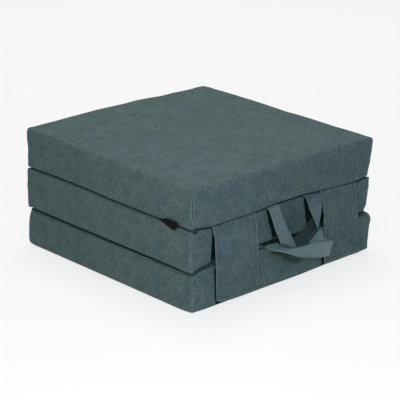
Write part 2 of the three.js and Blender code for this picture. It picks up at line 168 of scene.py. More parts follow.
def woven_cloth(name, colours, upright, roughness, sheen, yarn=YARN):
    """A heathered woven cloth on the pieces' "cloth" map, which holds their flat cloth in metres. upright
    is the share of slubs that run along the map's second direction, or "sides" for a pad, whose slubs stand
    up on its sides."""
    material = bpy.data.materials.new(name)
    material.use_nodes = True
    tree = material.node_tree
    shader = tree.nodes["Principled BSDF"]
    flat = put_node(tree, "UVMap", uv_map="cloth")
    split = put_node(tree, "SeparateXYZ", {0: flat.outputs[0]})
    across, along = split.outputs[0], split.outputs[1]
    if upright == "sides":
        facing = put_node(tree, "SeparateXYZ", {0: put_node(tree, "TexCoord").outputs["Normal"]})
        least, most = UPRIGHT_SLUBS["plain_sides"], UPRIGHT_SLUBS["handle_face"]
        to_handle_face = arithmetic(tree, "ABSOLUTE", facing.outputs[1])
        way = arithmetic(tree, "MULTIPLY_ADD", to_handle_face, most - least, least)
    else:
        way = upright

    warp = arithmetic(tree, "MULTIPLY", across, 1 / yarn)
    weft = arithmetic(tree, "MULTIPLY", along, 1 / yarn)
    warp_wave = arithmetic(tree, "SINE", arithmetic(tree, "MULTIPLY", warp, math.pi))
    weft_wave = arithmetic(tree, "SINE", arithmetic(tree, "MULTIPLY", weft, math.pi))
    crossing = arithmetic(tree, "MULTIPLY", warp_wave, weft_wave)
    warp_on_top = arithmetic(tree, "GREATER_THAN", crossing, 0)
    warp_number = arithmetic(tree, "FLOOR", warp)
    weft_number = arithmetic(tree, "FLOOR", weft)
    warp_tone = noise_at(tree, warp_number, along, YARN_APART, SLUB_LENGTH, detail=1, seed=3.7)
    weft_tone = noise_at(tree, weft_number, across, YARN_APART, SLUB_LENGTH, detail=1, seed=8.1)
    yarn_tone = put_node(tree, "Mix", {0: warp_on_top, 2: weft_tone, 3: warp_tone}).outputs[0]

    slub_along = noise_at(tree, across, along, SLUB_WIDTH, SLUB_LENGTH, detail=1, seed=1.3)
    slub_across = noise_at(tree, across, along, SLUB_LENGTH, SLUB_WIDTH, detail=1, seed=5.9)
    slub = put_node(tree, "Mix", {0: way, 2: slub_across, 3: slub_along}).outputs[0]
    cloud = noise_at(tree, across, along, CLOUD, CLOUD, detail=2, seed=2.2)
    speck = noise_at(tree, across, along, SPECK, SPECK, detail=1, seed=6.6)

    tone = 0.5
    for part, noise in (("slub", slub), ("speck", speck), ("yarn", yarn_tone), ("cloud", cloud)):
        share = TONE_SHARE[part]
        tone = arithmetic(tree, "ADD", tone, arithmetic(tree, "MULTIPLY_ADD", noise, share, -share / 2))
    # Painted light and shade, written on each piece: highlights on ridges, hems and edges; shade in grooves,
    # hollows, creases and joints; and handles painted lighter or darker along their length.
    painted_tone = put_node(tree, "Attribute", attribute_name="painted_light_and_shade").outputs["Fac"]
    tone = arithmetic(tree, "ADD", tone, arithmetic(tree, "MULTIPLY", painted_tone, TONE_SHARE["seam"]))
    ramp = put_node(tree, "ValToRGB", {0: tone})
    ramp.color_ramp.elements.new(TONE_STOPS["light"])
    for stop, shade in zip(ramp.color_ramp.elements, ("dark", "plain", "light")):
        stop.position = TONE_STOPS[shade]
        stop.color = (*colours[shade], 1)
    hue = noise_at(tree, across, along, CLOUD, CLOUD, detail=1, seed=7.4)
    hue = put_node(tree, "MapRange", {0: hue, 1: 0.3, 2: 0.7, 3: 0.0, 4: 1.0})
    tint = put_node(tree, "Mix", {0: hue.outputs[0], 6: GREENER, 7: BLUER}, data_type="RGBA")
    dye = {0: 1.0, 6: ramp.outputs[0], 7: tint.outputs[2]}
    dyed = put_node(tree, "Mix", dye, data_type="RGBA", blend_type="MULTIPLY")

    # Painted shade: the colour is mixed towards the dark crevice colour where other cloth lies within reach,
    # by an ambient occlusion node, but not near the floor. Tone below zero darkens it towards the same
    # colour.
    nearby = put_node(tree, "AmbientOcclusion", {"Distance": CREVICE_SHADE["reach"]}, samples=8)
    open_air = put_node(tree, "MapRange", {
        0: nearby.outputs["AO"], 1: CREVICE_SHADE["dark_below"], 2: CREVICE_SHADE["clear_above"], 3: 0.0, 4: 1.0,
    })
    place = put_node(tree, "SeparateXYZ", {0: put_node(tree, "NewGeometry").outputs["Position"]})
    by_floor = arithmetic(tree, "MULTIPLY_ADD", place.outputs[2], -1 / CREVICE_SHADE["off_floor"], 1)
    clear = arithmetic(tree, "MAXIMUM", open_air.outputs[0], by_floor)
    sunk = arithmetic(tree, "MAXIMUM", arithmetic(tree, "MULTIPLY", painted_tone, -1), 0)
    clear = arithmetic(tree, "MULTIPLY", clear, arithmetic(tree, "SUBTRACT", 1, sunk))
    colour = put_node(tree, "Mix", {0: clear, 6: CREVICE_SHADE_COLOUR, 7: dyed.outputs[2]}, data_type="RGBA")
    tree.links.new(colour.outputs[2], shader.inputs["Base Color"])

    height = arithmetic(tree, "MULTIPLY", arithmetic(tree, "ABSOLUTE", crossing), WEAVE_DEPTH)
    height = arithmetic(tree, "MULTIPLY_ADD", slub, SLUB_DEPTH, height)
    bump = put_node(tree, "Bump", {"Height": height, "Distance": 1, "Strength": 0.8})
    tree.links.new(bump.outputs[0], shader.inputs["Normal"])
    rough = arithmetic(tree, "MULTIPLY_ADD", slub, -SLUB_GLOSS, roughness + SLUB_GLOSS / 2)
    tree.links.new(rough, shader.inputs["Roughness"])
    shader.inputs["Sheen Weight"].default_value = sheen
    shader.inputs["Sheen Roughness"].default_value = 0.45
    shader.inputs["Sheen Tint"].default_value = (0.55, 0.8, 0.82, 1)
    shader.inputs["Specular IOR Level"].default_value = 0.06
    return material


cover_cloth = woven_cloth("cover_cloth", COVER_COLOURS, "sides", 0.86, 0.06)

# The three foam pads, each sewn into its own cover. Every cover is cut in one piece over the top and the
# four sides and closed by an upright seam at each corner. The foam pushes the cloth out and rounds the
# edges, and the pads lie on each other with a joint that sags or rises where cloth is caught in it.
MM = 0.001
HALF_WIDTH = 300
HALF_DEPTH = 312
PAD_HEIGHT = 100
TOP_HEIGHT = 302
TOP_CROWN = 6
BACK_RIM = [(-300, 5), (-100, 7), (50, 5), (180, 0.5), (250, -2), (300, 0)]

# The joints, by the height of each: how far the upper one drops along the handle face and along the left
# face, how far the lower one rises at the handle face, and the room that a hinge takes up in a joint.
UPPER_LINE = 207
UPPER_DROP_AT_HANDLES = [
    (-300, 2.5), (-219, 9.5), (-120, 9), (-24, 3), (57, 2.7), (140, 8.5), (235, 13.5), (300, 8),
]
UPPER_DROP_AT_LEFT = [(-312, 0), (-210, 2.5), (-100, 3), (0, 2.5), (70, 0), (180, 0), (312, 2.7)]
LEFT_REACH = (100, HALF_WIDTH)
LOWER_LINE = 96
LOWER_RISE = 9.5
LEVEL_TO_CORNERS = 12
HANDLE_FACE_REACH = (HALF_DEPTH - 150, HALF_DEPTH - 10)
JOINT_GAP = 0.8
HINGE_ROOM = {
    "front": {"height": 5.5, "ends": (185, 250), "pressed": 0.75},
    "back": {"height": 1.3, "ends": (262, 290), "pressed": 0},
}
HINGE_PRESSED_FROM = (-15, 35)
HINGE_ROOM_FADES = (30, 60)

# The cover's corners, how closely the drawn-in faces keep to their edges, and how the foam fills it.
CORNER_ROUNDING = 8
CORNER_NEAR = 32
FACE_HOLD = 6
CORNER_HOLD = 4
START_SMALLER = 2.6
MOST_SWELL = 3.2
FOAM_GIVES = 0.4
SWELL_PRESSURE = 0.3
COVER_STIFFNESS = 25
SWELL_FRAMES = 20


def ease(value, start, end):
    share = np.clip((value - start) / (end - start), 0, 1)
    return share * share * (3 - 2 * share)


def read_table(rows, at, column=1):
    """Reads a table at many places. Its rows are in order of their first column, with soft turns."""
    keys = np.array([row[0] for row in rows], float)
    values = np.array([row[column] for row in rows], float)
    at = np.clip(at, keys[0], keys[-1])
    after = np.clip(np.searchsorted(keys, at, side="right"), 1, len(keys) - 1)
    share = ease(at, keys[after - 1], keys[after])
    return values[after - 1] + (values[after] - values[after - 1]) * share


def near_handle_face(y):
    return ease(-y, *HANDLE_FACE_REACH)


def upper_joint(x, y):
    """The height of the joint between the middle and the top pad, which sags where the bands pull at it."""
    drop = read_table(UPPER_DROP_AT_HANDLES, x) * near_handle_face(y)
    return UPPER_LINE - drop - read_table(UPPER_DROP_AT_LEFT, y) * ease(-x, *LEFT_REACH)


def lower_joint(x, y):
    """The height of the joint between the bottom and the middle pad, which rises over the front hinge."""
    to_near_corner = (np.maximum(-x, 0) / HALF_WIDTH) ** LEVEL_TO_CORNERS
    return LOWER_LINE + LOWER_RISE * (1 - to_near_corner) * near_handle_face(y)


def hinge_room(hinge, x, distance):
    """The room that a hinge strip takes up in a joint, by the distance from the face it is sewn to."""
    facts = HINGE_ROOM[hinge]
    room = facts["height"] * (1 - facts["pressed"] * ease(x, *HINGE_PRESSED_FROM))
    return room * (1 - ease(distance, *HINGE_ROOM_FADES)) * (1 - ease(np.abs(x), *facts["ends"]))


def top_face(x, y):
    across = 1 - (x / HALF_WIDTH) ** 2
    along = 1 - (y / HALF_DEPTH) ** 2
    rim = TOP_HEIGHT + read_table(BACK_RIM, x) * ease(y, 0, HALF_DEPTH)
    return rim + TOP_CROWN * np.sqrt(np.maximum(0, across * along))


def ripple(points, wavelength, seed, waves=9):
    """Smooth uneven heights, mostly from -1 to 1, over points in millimetres."""
    draw = np.random.default_rng(seed)
    total = np.zeros(len(points))
    for _ in range(waves):
        way = draw.normal(size=3)
        way *= 2 * math.pi / (np.linalg.norm(way) * wavelength * draw.uniform(0.7, 1.5))
        total += np.sin(points @ way + draw.uniform(0, 2 * math.pi))
    return total / math.sqrt(waves)


def uneven_cloth(points, waves, seed):
    """The soft unevenness of cloth. Each wave has a height and a length."""
    return sum(
        height * ripple(points, length, seed + number) for number, (height, length) in enumerate(waves)
    )


def read_points(mesh):
    points = np.zeros(len(mesh.vertices) * 3)
    mesh.vertices.foreach_get("co", points)
    return points.reshape(-1, 3) / MM


def write_points(mesh, points):
    mesh.vertices.foreach_set("co", (points * MM).ravel())
    mesh.update()


def read_normals(mesh):
    normals = np.zeros(len(mesh.vertices) * 3)
    mesh.vertices.foreach_get("normal", normals)
    return normals.reshape(-1, 3)


def keep_result(piece):
    """Turns what a piece's modifiers make into its own mesh."""
    graph = bpy.context.evaluated_depsgraph_get()
    made = bpy.data.meshes.new_from_object(piece.evaluated_get(graph))
    piece.modifiers.clear()
    piece.data = made


def smooth_finer(piece, levels):
    finer = piece.modifiers.new("finer", "SUBSURF")
    finer.levels = levels
    keep_result(piece)


# The places of a pad's rows of points along each side, past its rounded edges: closer where a band or a
# handle hangs before the handle face.
ROWS_ACROSS = [
    -294, -290, -284, -275, -266, -257, -248, -241, -234, -227, -218, -200, -175, -150, -130, -116, -104,
    -92, -80, -68, -61, -54, -47, -40, -30, -18, 0, 20, 40, 52, 60, 67, 74, 82, 92, 104, 113, 120, 127, 136,
    150, 172, 196, 220, 240, 256, 270, 281, 289, 294,
]
HALF_ROWS_DEEP = [40, 80, 122, 162, 200, 236, 266, 284, 295, 302, 306]
ROWS_DEEP = [-place for place in reversed(HALF_ROWS_DEEP)] + [0] + HALF_ROWS_DEEP
ROWS_HIGH = [0, 0.06, 0.16, 0.32, 0.5, 0.68, 0.84, 0.94, 1]
ARC_ROWS = 4


def side_rows(half, low, high, flat_rows):
    """The places of the rows along one side, from minus half to half, with close rows round each edge."""
    arc = 1 - np.tan(np.linspace(1, 0, ARC_ROWS, endpoint=False) * math.pi / 4)
    flat = np.interp(flat_rows, (flat_rows[0], flat_rows[-1]), (low - half, half - high))
    return np.concatenate([-half + arc * low, flat, half - arc[::-1] * high])


def past_flat(place, half, low, high):
    """How far into a rounded edge a place is, from -1 at the low edge to 1 at the high one."""
    return np.minimum((place + half - low) / low, 0) + np.maximum((place - half + high) / high, 0)


def round_back(share, place, half, low, high):
    """The place that a share of a rounded edge stands for; a place between the edges stays."""
    in_high = np.where(share > 0, half - high + share * high, place)
    return np.where(share < 0, low - half + share * low, in_high)


def drawn_in(profile, height):
    """How far a face is drawn in at its foot, half way up and at its head, read in between."""
    low, mid, high = profile
    lower_half = low + (mid - low) * ease(height, 0, 0.5)
    return np.where(height < 0.5, lower_half, mid + (high - mid) * ease(height, 0.5, 1))


def block_faces(number):
    """The four-sided faces of a block's grid of point numbers, all turned outward."""
    faces = []
    for axis in range(3):
        for end in (0, -1):
            side = number.take(end, axis=axis)
            corners = [side[:-1, :-1], side[1:, :-1], side[1:, 1:], side[:-1, 1:]]
            if (end == 0) != (axis == 1):
                corners.reverse()
            faces.append(np.stack(corners, axis=-1).reshape(-1, 4))
    return np.concatenate(faces)


def place_piece(name, points, faces):
    """Puts a smooth-shaded mesh, from points in millimetres, into the scene."""
    mesh = bpy.data.meshes.new(name)
    mesh.from_pydata((points * MM).tolist(), [], faces)
    mesh.shade_smooth()
    piece = bpy.data.objects.new(name, mesh)
    scene.collection.objects.link(piece)
    return piece


def pad_cover(facts):
    """A pad's cover as it lies on the foam: a block with rounded edges between two uneven surfaces."""
    low, high = facts["edges"]
    half_height = PAD_HEIGHT / 2
    rows = [
        side_rows(HALF_WIDTH, CORNER_ROUNDING, CORNER_ROUNDING, ROWS_ACROSS),
        side_rows(HALF_DEPTH, CORNER_ROUNDING, CORNER_ROUNDING, ROWS_DEEP),
        side_rows(half_height, low, high, ROWS_HIGH),
    ]
    on_surface = np.ones([len(row) for row in rows], bool)
    on_surface[1:-1, 1:-1, 1:-1] = False
    number = np.full(on_surface.shape, -1)
    number[on_surface] = np.arange(on_surface.sum())
    x, y, z = (grid[on_surface] for grid in np.meshgrid(*rows, indexing="ij"))
    shares = np.stack([
        past_flat(x, HALF_WIDTH, CORNER_ROUNDING, CORNER_ROUNDING),
        past_flat(y, HALF_DEPTH, CORNER_ROUNDING, CORNER_ROUNDING),
        past_flat(z, half_height, low, high),
    ])
    shares /= np.linalg.norm(shares, axis=0)
    x = round_back(shares[0], x, HALF_WIDTH, CORNER_ROUNDING, CORNER_ROUNDING)
    y = round_back(shares[1], y, HALF_DEPTH, CORNER_ROUNDING, CORNER_ROUNDING)
    height = (round_back(shares[2], z, half_height, low, high) + half_height) / PAD_HEIGHT
    sideways, deep = x / HALF_WIDTH, y / HALF_DEPTH
    profile = {face: drawn_in(rows, height) for face, rows in facts["drawn_in"].items()}
    corner = np.where(sideways < 0, profile["front_left"], profile["front_right"])
    front = profile["front"] + (corner - profile["front"]) * sideways**CORNER_HOLD
    side = np.where(sideways < 0, profile["left"], profile["right"])
    end = np.where(deep < 0, front, profile["back"])
    x = x - np.sign(sideways) * side * np.abs(sideways) ** FACE_HOLD
    y = y - np.sign(deep) * end * np.abs(deep) ** FACE_HOLD
    floor_at, ceiling_at = facts["below"](x, y), facts["above"](x, y)
    z = floor_at + (ceiling_at - floor_at) * height
    by_corner = ease(np.abs(x), HALF_WIDTH - CORNER_NEAR, HALF_WIDTH)
    by_corner = by_corner * ease(np.abs(y), HALF_DEPTH - CORNER_NEAR, HALF_DEPTH)
    pulled = np.zeros(len(x))
    for side_x, side_y, still_at, full_at, pull in facts["soft_corners"]:
        pulled += pull * ease(height, still_at, full_at) * by_corner * (x * side_x > 0) * (y * side_y > 0)
    points = np.column_stack([x - np.sign(x) * pulled, y - np.sign(y) * pulled, z])
    return place_piece(facts["name"], points, block_faces(number).tolist())


def swell(pad, held):
    """Blows the cover out over its foam with a cloth simulation. held is 1 where a pad lies on another."""
    mesh = pad.data
    on_foam = read_points(mesh)
    outward = read_normals(mesh)
    start = on_foam.copy()
    start[:, :2] *= 1 - START_SMALLER / np.array([HALF_WIDTH, HALF_DEPTH])
    start[:, 2] -= START_SMALLER * (1 - held) * ease(outward[:, 2], 0, 1)
    write_points(mesh, start)
    cover = pad.modifiers.new("cover", "CLOTH")
    cover.settings.quality = 5
    cover.settings.use_pressure = True
    cover.settings.uniform_pressure_force = SWELL_PRESSURE
    cover.settings.tension_stiffness = COVER_STIFFNESS
    cover.settings.compression_stiffness = COVER_STIFFNESS
    cover.settings.effector_weights.gravity = 0
    cover.collision_settings.use_collision = False
    for number in range(1, SWELL_FRAMES + 1):
        scene.frame_set(number)
    graph = bpy.context.evaluated_depsgraph_get()
    move = read_points(pad.evaluated_get(graph).data) - start
    pad.modifiers.clear()
    scene.frame_set(1)
    size = np.maximum(np.linalg.norm(move, axis=1), 1e-9)
    move *= (np.minimum(size, MOST_SWELL) / size)[:, None]
    move[:, 2] *= 1 - held
    blown = start + move
    sunk = -((blown - on_foam) * outward).sum(axis=1) - FOAM_GIVES
    blown += outward * (np.maximum(sunk, 0) * (1 - held))[:, None]
    write_points(mesh, blown)


LEVEL_STEP = 3.0
LEVEL_REACH = 3.5
SEAM_REACH = 25
SEAM_WANDER = 0.9
SEAM_GROOVE = {"half_width": 0.8, "depth": 1.3, "dark": 0.95}
SEAM_RIDGE = {"aside": 2.7, "half_width": 1.5, "height": 1.2}
SEAM_WAVES = {"wander": 38, "puff": 24}
OFF_LEVEL_FACES = (0.45, 0.85)
CORNERS = [(-1, -1), (1, -1), (1, 1), (-1, 1)]


def corner_line(points, side_x, side_y):
    """The line down one upright corner of a pad: for each height, the place that stands out most."""
    levels = np.arange(points[:, 2].min(), points[:, 2].max(), LEVEL_STEP)
    outmost = side_x * points[:, 0] + side_y * points[:, 1]
    line = []
    for level in levels:
        near = np.where(np.abs(points[:, 2] - level) < LEVEL_REACH)[0]
        line.append(points[near[np.argmax(outmost[near])]])
    line = np.array(line)
    line[:, 2] = levels
    return line


def only_height(points):
    return points * np.array([0, 0, 1])


def sew_corners(points, normals, tone, near_seam, seed):
    """Pulls a wandering groove with a puffed ridge on each side into the four upright corners. near_seam
    holds heights and how far to the right of its corner the nearest seam runs there."""
    points_out = points.copy()
    for number, (side_x, side_y) in enumerate(CORNERS):
        line = corner_line(points, side_x, side_y)
        at_x = np.interp(points[:, 2], line[:, 2], line[:, 0])
        at_y = np.interp(points[:, 2], line[:, 2], line[:, 1])
        upright = only_height(points)
        wander = SEAM_WANDER * ripple(upright, SEAM_WAVES["wander"], seed + number)
        if number == 0:
            wander += read_table(near_seam, points[:, 2])
        aside = side_x * (points[:, 0] - at_x) - side_y * (points[:, 1] - at_y) + wander
        near = (np.abs(points[:, 0] - at_x) < SEAM_REACH) & (np.abs(points[:, 1] - at_y) < SEAM_REACH)
        strength = near * (1 - ease(np.abs(normals[:, 2]), *OFF_LEVEL_FACES))
        uneven = 0.8 + 0.35 * ripple(upright, SEAM_WAVES["puff"], seed + 10 + number)
        groove = np.exp(-((aside / SEAM_GROOVE["half_width"]) ** 2))
        ridge = np.exp(-(((np.abs(aside) - SEAM_RIDGE["aside"]) / SEAM_RIDGE["half_width"]) ** 2))
        lift = SEAM_RIDGE["height"] * ridge * uneven - SEAM_GROOVE["depth"] * groove
        points_out += normals * (lift * strength)[:, None]
        # Painted highlight on the ridges and painted shade in the groove.
        tone += strength * (ridge * uneven - SEAM_GROOVE["dark"] * groove)
    return points_out


# Behind the bands and the handles the handle face falls back steeply to the right of a line, and comes
# back out softly: each row of "from" and of "to" is a height and a place across, and "fade" holds the
# heights over which the hollow ends.
HOLLOWS = {
    "middle_pad": [
        {"from": [(102, -282), (106, -262), (109, -244), (115, -237), (174, -235), (200, -231)],
         "to": [(100, -112), (200, -112)], "depth": 13, "fade": (178, 198)},
        {"from": [(106, -31), (138, -40), (170, -51), (204, -60)], "to": [(106, 18), (141, 0), (204, -22)],
         "depth": 14, "fade": (192, 202)},
        {"from": [(99, 34), (103, 52), (108, 68), (115, 79), (126, 80), (154, 74), (204, 66)],
         "to": [(100, 172), (204, 172)], "depth": 14, "fade": (194, 204)},
    ],
    "bottom_pad": [
        {"from": [(5, -231), (95, -231)], "to": [(5, -112), (95, -112)], "depth": 8, "fade": (84, 97)},
        {"from": [(5, 127), (95, 125)], "to": [(5, 172), (95, 172)], "depth": 8, "fade": (99, 104)},
    ],
}
HOLLOW_WALL = 6
HOLLOW_RETURN = 24
HOLLOW_SHADE = {"dark": 0.92, "from": (0.2, 0.75)}
HOLLOW_FACING = (0.3, 0.8)


def hollow_out(points, normals, tone, hollows):
    """How far the handle face falls back at each point. The cloth in the hollows is in deep shade."""
    fall = np.zeros(len(points))
    facing = ease(-normals[:, 1], *HOLLOW_FACING)
    for hollow in hollows:
        start = read_table(hollow["from"], points[:, 2])
        end = read_table(hollow["to"], points[:, 2])
        inside = ease(points[:, 0], start, start + HOLLOW_WALL)
        inside = inside - ease(points[:, 0], end - HOLLOW_RETURN, end)
        inside = inside * (1 - ease(points[:, 2], *hollow["fade"]))
        fall = np.maximum(fall, hollow["depth"] * inside)
        tone -= HOLLOW_SHADE["dark"] * ease(inside, *HOLLOW_SHADE["from"]) * facing
    return fall * facing


# Small creases in the covers. Each is a line of heights and places along its face, with a width, a depth
# (a ridge, with a minus), a tone and how far it wanders. The tone is painted shade, and painted highlight
# where it is above zero. Those with no depth are only painted soft shades: the lower handle's shadow on the
# bottom pad and the shade on the middle pad between the upper handle's legs.
CREASES = {
    "middle_pad": [
        {"face": "handle", "line": [(197, -288), (203, -286), (216, -283)], "half_width": 6.5, "depth": 6,
         "tone": -3.2, "wander": 0},
        {"face": "handle", "line": [(124, 34), (160, 28), (204, 20)], "half_width": 34, "depth": 0,
         "tone": -0.22, "wander": 0},
        {"face": "left", "line": [(112, -304), (150, -305), (192, -304)], "half_width": 2.4, "depth": -0.7,
         "tone": 0.3, "wander": 0.8},
    ],
    "bottom_pad": [
        {"face": "handle", "line": [(38, 38), (62, 6), (88, -32)], "half_width": 20, "depth": 0,
         "tone": -0.55, "wander": 0},
        {"face": "handle", "line": [(10, -268), (50, -271), (84, -280)], "half_width": 6, "depth": -0.8,
         "tone": 0.22, "wander": 1.5},
    ],
}
CREASE_FACING = (0.4, 0.8)
CREASE_WAVE = 40
CREASE_FADES = {"foot": (-4, 4), "head": (-2, 4)}
FACE_AXES = {"handle": (1, 0), "left": (0, 1)}


def press_creases(points, normals, tone, creases, seed):
    """Presses a pad's creases into its cover, each fading out at its ends."""
    lift = np.zeros(len(points))
    for number, crease in enumerate(creases):
        face_axis, along_axis = FACE_AXES[crease["face"]]
        facing = ease(-normals[:, face_axis], *CREASE_FACING)
        foot = points[:, 2] - crease["line"][0][0]
        head = points[:, 2] - crease["line"][-1][0]
        wander = crease["wander"] * ripple(only_height(points), CREASE_WAVE, seed + number)
        line = read_table(crease["line"], points[:, 2]) + wander
        strength = ease(foot, *CREASE_FADES["foot"]) * (1 - ease(head, *CREASE_FADES["head"])) * facing
        shape = strength * np.exp(-(((points[:, along_axis] - line) / crease["half_width"]) ** 2))
        lift -= crease["depth"] * shape
        # Painted shade or painted highlight along each crease.
        tone += crease["tone"] * shape
    return points + normals * lift[:, None]


# The seams along the edges. Their grooves have one width, and a seam without a drift keeps its distance
# from the joint.
EDGE_GROOVE_WIDTH = 1.1
EDGE_WAVES = {"wander": 70, "puff": 60}
EDGE_FACING = (0.3, 0.6)
OFF_EDGE_ROUNDING = (0.55, 0.95)
NO_DRIFT = [(0, 0), (1, 0)]


def edge_seams(points, normals, tone, facts):
    """The sewn lips along a pad's edges: a ridge by the joint with a groove beside it. A seam's strength
    along its face comes from a table, and so does its drift away from the joint."""
    lift = np.zeros(len(points))
    upright_face = 1 - ease(np.abs(normals[:, 2]), *OFF_EDGE_ROUNDING)
    level = points * np.array([1, 1, 0])
    for seam in facts["edge_seams"]:
        side, joint_surface = (1, facts["below"]) if seam["edge"] == "lower" else (-1, facts["above"])
        joint = joint_surface(points[:, 0], points[:, 1])
        face_axis, along_axis = FACE_AXES[seam["face"]]
        wander = seam["wander"] * ripple(level, EDGE_WAVES["wander"], facts["seed"] + 5)
        drift = read_table(seam.get("drift", NO_DRIFT), points[:, along_axis])
        away = (points[:, 2] - joint) * side + wander - drift
        uneven = np.clip(0.75 + 0.4 * ripple(level, EDGE_WAVES["puff"], facts["seed"] + 6), 0, 1.3)
        strength = upright_face * ease(-normals[:, face_axis], *EDGE_FACING) * uneven
        strength = strength * read_table(seam["along"], points[:, along_axis])
        ridge_at, ridge_width, ridge_height, light = seam["ridge"]
        groove_at, groove_depth, dark = seam["groove"]
        ridge = np.exp(-(((away - ridge_at) / ridge_width) ** 2))
        groove = np.exp(-(((away - groove_at) / EDGE_GROOVE_WIDTH) ** 2))
        lift += strength * (ridge_height * ridge - groove_depth * groove)
        # Painted highlight on the ridge and painted shade in the groove.
        tone += strength * (light * ridge - dark * groove)
    return points + normals * lift[:, None]


UNDERSIDE_ASIDE = 2000
LEVEL_FACE = 0.7


def spread_cover(mesh, points, rounding=CORNER_ROUNDING):
    """Lays out the flat cloth of a pad: the top with the four sides folded down from it, and the underside
    beside them."""
    low, high = points.min(0), points.max(0)
    reach = np.minimum(-low, high)[:2] - rounding
    drop = high[2] - rounding - points[:, 2]
    rise = np.maximum(-drop, 0)
    unrolled = np.zeros((len(points), 2))
    for axis in (0, 1):
        past = np.abs(points[:, axis]) - reach[axis]
        arc = rounding * np.arctan2(np.maximum(past, 0), np.maximum(rise, 1e-6)) + np.maximum(drop, 0)
        out = np.sign(points[:, axis]) * (reach[axis] + arc)
        unrolled[:, axis] = np.where(past > 0, out, points[:, axis])
    facing = np.zeros(len(mesh.polygons) * 3)
    mesh.polygons.foreach_get("normal", facing)
    facing = facing.reshape(-1, 3)
    totals = np.zeros(len(mesh.polygons), int)
    mesh.polygons.foreach_get("loop_total", totals)
    owner = np.repeat(np.arange(len(totals)), totals)
    corners = np.zeros(len(mesh.loops), int)
    mesh.loops.foreach_get("vertex_index", corners)
    level = np.abs(facing[owner, 2]) > LEVEL_FACE
    under = level & (facing[owner, 2] < 0)
    end_face = ~level & (np.abs(facing[owner, 0]) > np.abs(facing[owner, 1]))
    long_face = ~level & ~end_face
    u = np.where(level | end_face, unrolled[corners, 0], points[corners, 0])
    v = np.where(level | long_face, unrolled[corners, 1], points[corners, 1])
    u = np.where(under, points[corners, 0] + UNDERSIDE_ASIDE, u)
    v = np.where(under, points[corners, 1], v)
    flat = mesh.uv_layers.new(name="cloth")
    flat.data.foreach_set("uv", (np.column_stack([u, v]) * MM).ravel())


# Stores a piece's painted light and shade at its points.
def write_tone(mesh, tone):
    mesh.attributes.new("painted_light_and_shade", "FLOAT", "POINT").data.foreach_set("value", np.clip(tone, -1, 1))


HELD_FACING = (0.15, 0.6)


def held_face(normals, pad_above):
    """From 0 to 1, how far a pad's cover lies on the pad or floor below it, or under the pad above it."""
    below = ease(-normals[:, 2], *HELD_FACING)
    return np.maximum(below, ease(normals[:, 2], *HELD_FACING)) if pad_above else below


